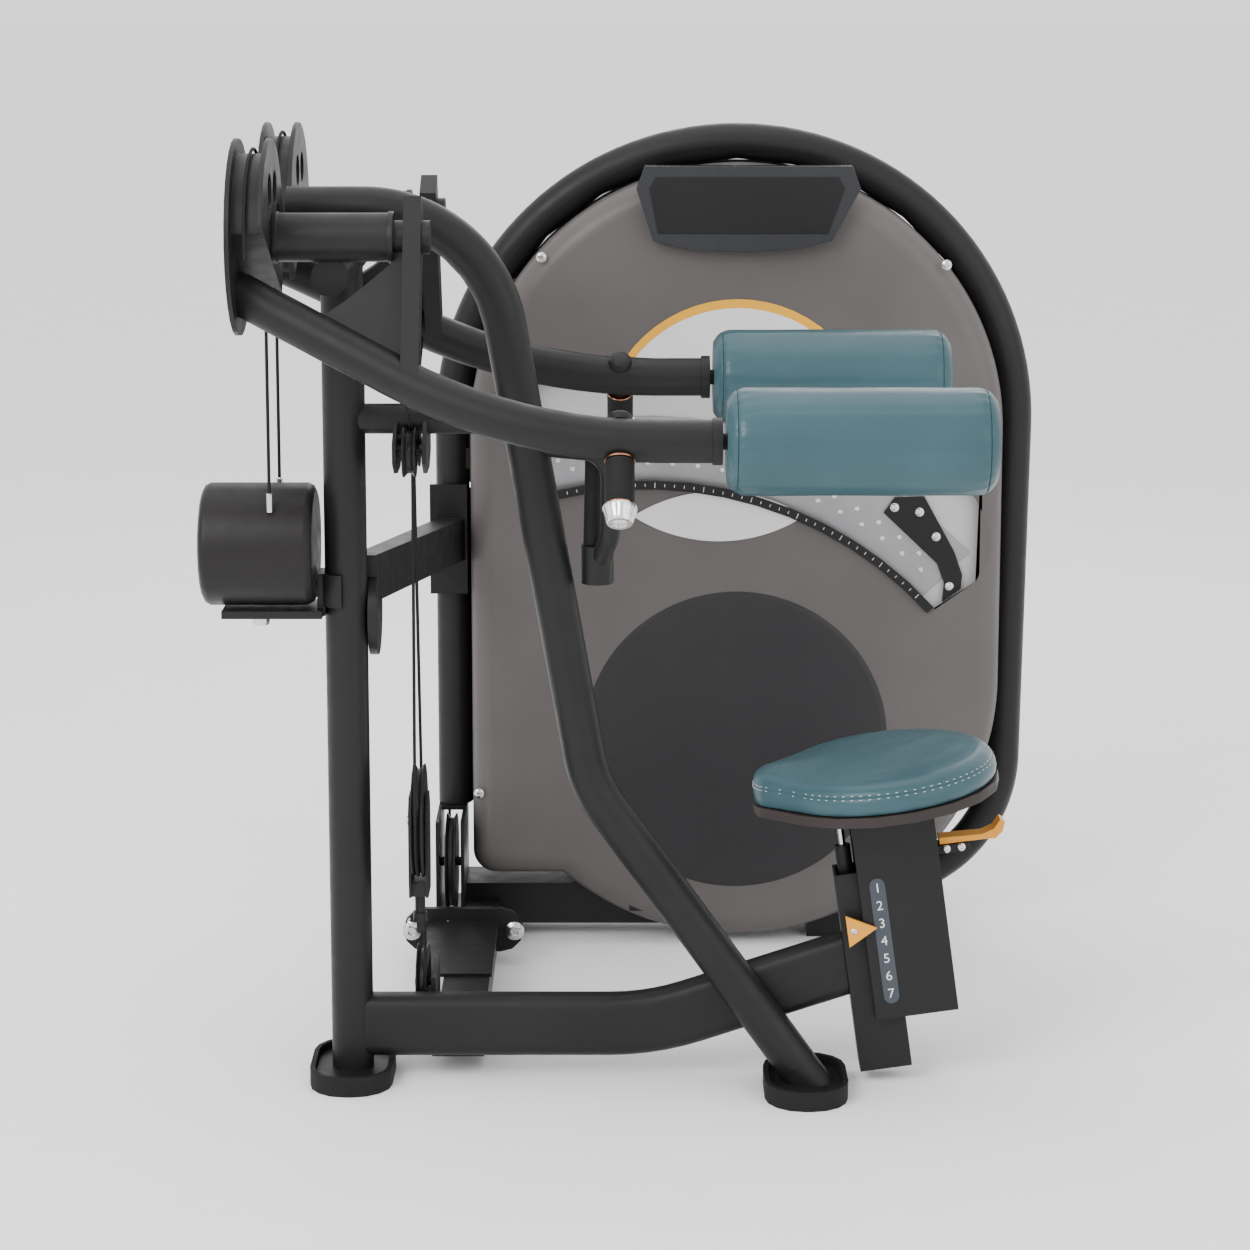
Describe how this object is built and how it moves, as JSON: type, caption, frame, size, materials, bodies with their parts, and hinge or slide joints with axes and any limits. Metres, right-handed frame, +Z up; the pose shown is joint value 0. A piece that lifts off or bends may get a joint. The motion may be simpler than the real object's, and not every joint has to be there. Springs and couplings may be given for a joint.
{
  "type": "seated lateral raise machine",
  "caption": "Seated lateral raise gym machine: padded swing arms over an arched frame, cable and wheel drive, shrouded weight tower, sliding seat.",
  "frame": {"origin": "middle of the footprint, on the floor", "axes": "+Z up; the exerciser faces -X; the weight tower stands towards +Y"},
  "size_m": [1.338, 1.2778, 1.46],
  "materials": {
    "frame_paint": "charcoal powder coat, fine texture",
    "shroud_plastic": "taupe, satin moulded plastic",
    "vinyl": "teal upholstery vinyl",
    "pan_plastic": "dark brown moulded plastic",
    "black_rubber": "black rubber",
    "weight_black": "brown-black coated casting",
    "nylon": "black nylon",
    "bright_steel": "bright steel",
    "grip_metal": "turned aluminium",
    "index_steel": "grey perforated sheet",
    "yellow_plastic": "yellow moulded plastic",
    "badge_plastic": "dark glossy moulding"
  },
  "bodies": {
    "root": {"front_post": "frame_paint", "front_foot_pad": "black_rubber", "rear_foot_pad": "black_rubber", "arch_tube": "frame_paint", "base_beam": "frame_paint", "pivot_frame": "frame_paint", "pulley_hanger": "frame_paint", "upper_link": "frame_paint", "lower_link": "frame_paint", "stabiliser_bar": "frame_paint", "stabiliser_grip": "black_rubber", "tower_hoop": "frame_paint", "tower_base": "frame_paint", "front_shroud": "shroud_plastic", "rear_shroud": "shroud_plastic", "name_housing": "badge_plastic", "window_sill": "frame_paint", "window_plate": "index_steel", "window_bracket": "frame_paint", "pack_shaft": "bright_steel", "pack_plate_1": "weight_black", "pack_plate_2": "weight_black", "left_balance_cable": "black_rubber", "right_balance_cable": "black_rubber", "equaliser_cable": "black_rubber", "lift_cable": "black_rubber", "seat_mast": "frame_paint", "seat_pointer": "yellow_plastic", "seat_strut_body": "nylon"},
    "left_arm_body": {"left_arm": "frame_paint", "left_cam": "frame_paint", "left_pivot_shaft": "bright_steel", "left_grip": "black_rubber", "left_grip_cap": "grip_metal"},
    "right_arm_body": {"right_arm": "frame_paint", "right_cam": "frame_paint", "right_pivot_shaft": "bright_steel", "right_grip": "black_rubber", "right_grip_cap": "grip_metal"},
    "left_pad_body": {"left_roller_pad": "vinyl"},
    "right_pad_body": {"right_roller_pad": "vinyl"},
    "weight_pack": {"pack_plate_3": "weight_black", "pack_plate_4": "weight_black", "swing_arm": "frame_paint"},
    "selector_body": {"load_selector": "yellow_plastic"},
    "counterweight": {"counterweight_drum": "weight_black", "counterweight_carriage": "frame_paint"},
    "block_body": {"floating_block": "frame_paint"},
    "floating_wheel": {"floating_pulley": "nylon"},
    "left_guide_wheel": {"left_guide_pulley": "nylon"},
    "right_guide_wheel": {"right_guide_pulley": "nylon"},
    "base_wheel": {"base_pulley": "nylon"},
    "low_wheel": {"low_pulley": "nylon"},
    "top_wheel": {"top_pulley": "nylon"},
    "seat_body": {"seat_carriage": "frame_paint", "seat_pan": "pan_plastic", "seat_cushion": "vinyl", "seat_strut_rod": "bright_steel"},
    "seat_lever_body": {"seat_lever": "yellow_plastic"}
  },
  "joints": [
    {"name": "pack_swing", "type": "hinge", "parent": "root", "child": "weight_pack", "pos_m": [-0.0052, 0.46, 0.16], "axis": [0, -1, 0], "range_deg": [0, 50]},
    {"name": "left_arm_raise", "type": "hinge", "parent": "root", "child": "left_arm_body", "pos_m": [-0.45, -0.417, 1.32], "axis": [-1, 0, 0], "range_deg": [0, 95]},
    {"name": "right_arm_raise", "type": "hinge", "parent": "root", "child": "right_arm_body", "pos_m": [-0.45, -0.025, 1.32], "axis": [1, 0, 0], "range_deg": [0, 95]},
    {"name": "left_pad_roll", "type": "hinge", "parent": "left_arm_body", "child": "left_pad_body", "pos_m": [0.29, -0.54701, 1.04742], "axis": [1, 0, 0], "continuous": true},
    {"name": "right_pad_roll", "type": "hinge", "parent": "right_arm_body", "child": "right_pad_body", "pos_m": [0.29, 0.10501, 1.04742], "axis": [1, 0, 0], "continuous": true},
    {"name": "counterweight_drop", "type": "slide", "parent": "root", "child": "counterweight", "axis": [0, 0, -1], "range_m": [0, 0.21], "deforming": ["left_balance_cable", "right_balance_cable"]},
    {"name": "block_lift", "type": "slide", "parent": "root", "child": "block_body", "axis": [0, 0, 1], "range_m": [0, 0.252], "deforming": ["equaliser_cable", "lift_cable"]},
    {"name": "floating_wheel_spin", "type": "hinge", "parent": "block_body", "child": "floating_wheel", "pos_m": [-0.356, -0.188, 0.4], "axis": [1, 0, 0], "continuous": true},
    {"name": "left_guide_spin", "type": "hinge", "parent": "root", "child": "left_guide_wheel", "pos_m": [-0.359, -0.269, 0.987], "axis": [1, 0, 0], "range_deg": [0, 412]},
    {"name": "right_guide_spin", "type": "hinge", "parent": "root", "child": "right_guide_wheel", "pos_m": [-0.359, -0.173, 0.987], "axis": [-1, 0, 0], "range_deg": [0, 412]},
    {"name": "base_wheel_spin", "type": "hinge", "parent": "root", "child": "base_wheel", "pos_m": [-0.356, -0.132, 0.122], "axis": [-1, 0, 0], "range_deg": [0, 258]},
    {"name": "low_wheel_spin", "type": "hinge", "parent": "root", "child": "low_wheel", "pos_m": [-0.341, 0.438, 0.147], "axis": [-1, 0, 0], "range_deg": [0, 179]},
    {"name": "top_wheel_spin", "type": "hinge", "parent": "root", "child": "top_wheel", "pos_m": [-0.299, 0.519, 0.85], "axis": [0, -1, 0], "range_deg": [0, 343]},
    {"name": "load_select", "type": "hinge", "parent": "root", "child": "selector_body", "pos_m": [-0.0052, 0.4, 0.16], "axis": [0, -1, 0], "range_deg": [-28, 24]},
    {"name": "seat_height", "type": "slide", "parent": "root", "child": "seat_body", "axis": [-0.1392, 0, 0.9903], "range_m": [-0.056, 0.112]},
    {"name": "seat_lever_lift", "type": "hinge", "parent": "seat_body", "child": "seat_lever_body", "pos_m": [0.44399, -0.221, 0.38035], "axis": [0, -1, 0], "range_deg": [0, 12], "stiffness_Nm_per_rad": 0.5}
  ],
  "couplings": [
    {"joint": "left_arm_raise", "follows": "pack_swing", "ratio": 1.9},
    {"joint": "right_arm_raise", "follows": "pack_swing", "ratio": 1.9},
    {"joint": "counterweight_drop", "follows": "pack_swing", "m_per_rad": 0.2375},
    {"joint": "block_lift", "follows": "pack_swing", "m_per_rad": 0.2865},
    {"joint": "left_guide_spin", "follows": "pack_swing", "ratio": 8.186},
    {"joint": "right_guide_spin", "follows": "pack_swing", "ratio": 8.186},
    {"joint": "base_wheel_spin", "follows": "pack_swing", "ratio": 5.116},
    {"joint": "low_wheel_spin", "follows": "pack_swing", "ratio": 3.537},
    {"joint": "top_wheel_spin", "follows": "pack_swing", "ratio": 6.821}
  ]
}
